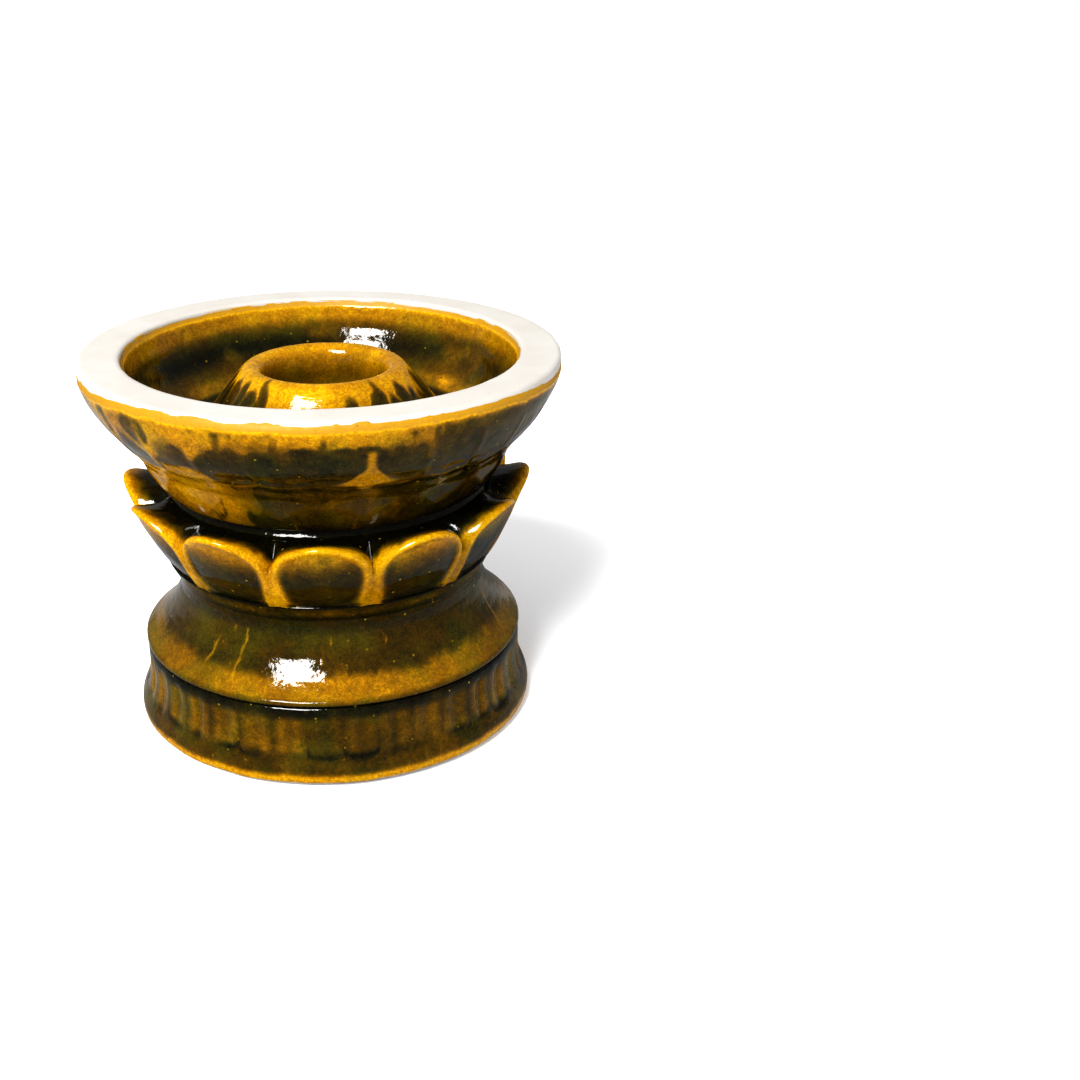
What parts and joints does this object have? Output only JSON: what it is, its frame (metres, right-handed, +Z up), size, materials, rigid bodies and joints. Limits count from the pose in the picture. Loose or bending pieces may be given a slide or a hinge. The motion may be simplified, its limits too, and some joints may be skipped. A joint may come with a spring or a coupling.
{
  "type": "ceramic hookah bowl",
  "caption": "Glazed stoneware hookah bowl: flared dish with an annular well and a central spire, a lotus-petal collar, and a fluted foot with a stem socket.",
  "frame": {"origin": "on the bowl's axis, in the plane that the foot stands on", "axes": "+Z up along the bowl's axis, towards the rim; one petal is centred 5.5 degrees from the -Y axis towards +X"},
  "size_m": [0.081, 0.081, 0.065],
  "materials": {
    "bare_stoneware": "unglazed white stoneware, sponged smooth, matt and slightly speckled",
    "amber_glaze": "glossy transparent amber glaze over white clay, olive to black where it pools",
    "olive_glaze": "glossy dark olive-brown glaze, amber where it runs thin over edges"
  },
  "bodies": {
    "root": {"foot_ring": "bare_stoneware", "stem_socket": "bare_stoneware", "shoulder": "bare_stoneware", "waist_collar": "bare_stoneware", "dish": "bare_stoneware", "spire": "bare_stoneware", "petal_01": "bare_stoneware", "petal_02": "bare_stoneware", "petal_03": "bare_stoneware", "petal_04": "bare_stoneware", "petal_05": "bare_stoneware", "petal_06": "bare_stoneware", "petal_07": "bare_stoneware", "petal_08": "bare_stoneware", "petal_09": "bare_stoneware", "petal_10": "bare_stoneware", "petal_11": "bare_stoneware", "petal_12": "bare_stoneware", "glaze_foot": "olive_glaze", "glaze_shoulder": "olive_glaze", "glaze_petals": "olive_glaze", "glaze_waist": "olive_glaze", "glaze_dish": "olive_glaze", "glaze_well": "amber_glaze", "glaze_spire": "amber_glaze"}
  },
  "joints": []
}
